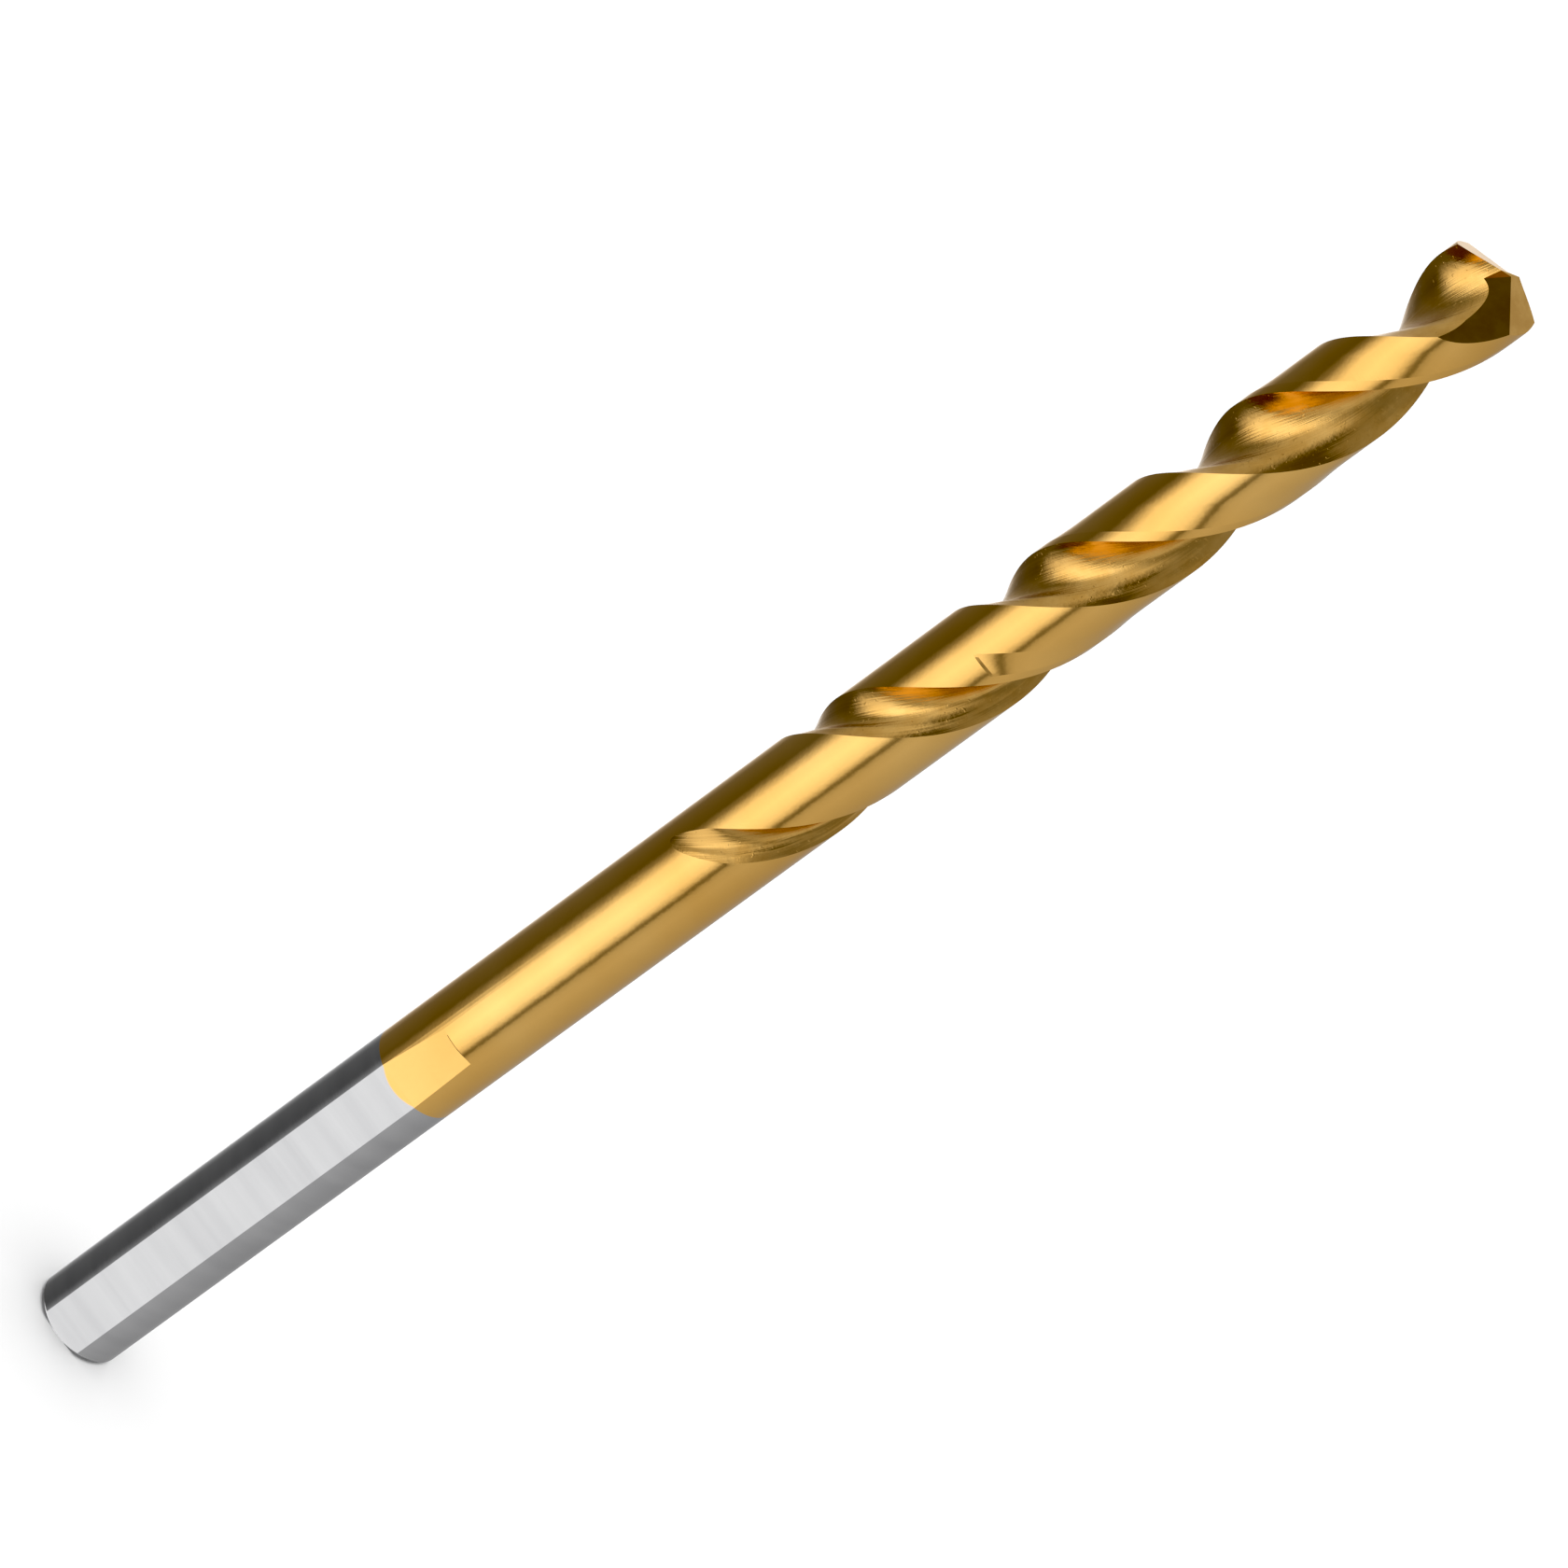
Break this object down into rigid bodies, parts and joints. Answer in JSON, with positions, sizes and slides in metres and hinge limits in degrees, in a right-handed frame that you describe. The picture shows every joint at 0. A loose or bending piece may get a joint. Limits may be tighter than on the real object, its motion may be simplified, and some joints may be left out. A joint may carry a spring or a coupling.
{
  "type": "twist drill",
  "caption": "Right-hand two-flute twist drill with a gold-coated body, split point and bare steel shank with three clamping flats.",
  "frame": {"origin": "centre of the shank's flat end face, on the tool axis", "axes": "+Z along the tool axis from the shank end to the point; -Y is the outward normal of one of the three shank flats"},
  "size_m": [0.0048, 0.0048, 0.0889],
  "materials": {
    "bare_steel": "bright ground steel with fine lines across the axis",
    "gold_coating": "glossy gold-coloured nitride coating over ground steel"
  },
  "bodies": {
    "root": {"shank": "bare_steel", "fluted_body": "gold_coating"}
  },
  "joints": []
}
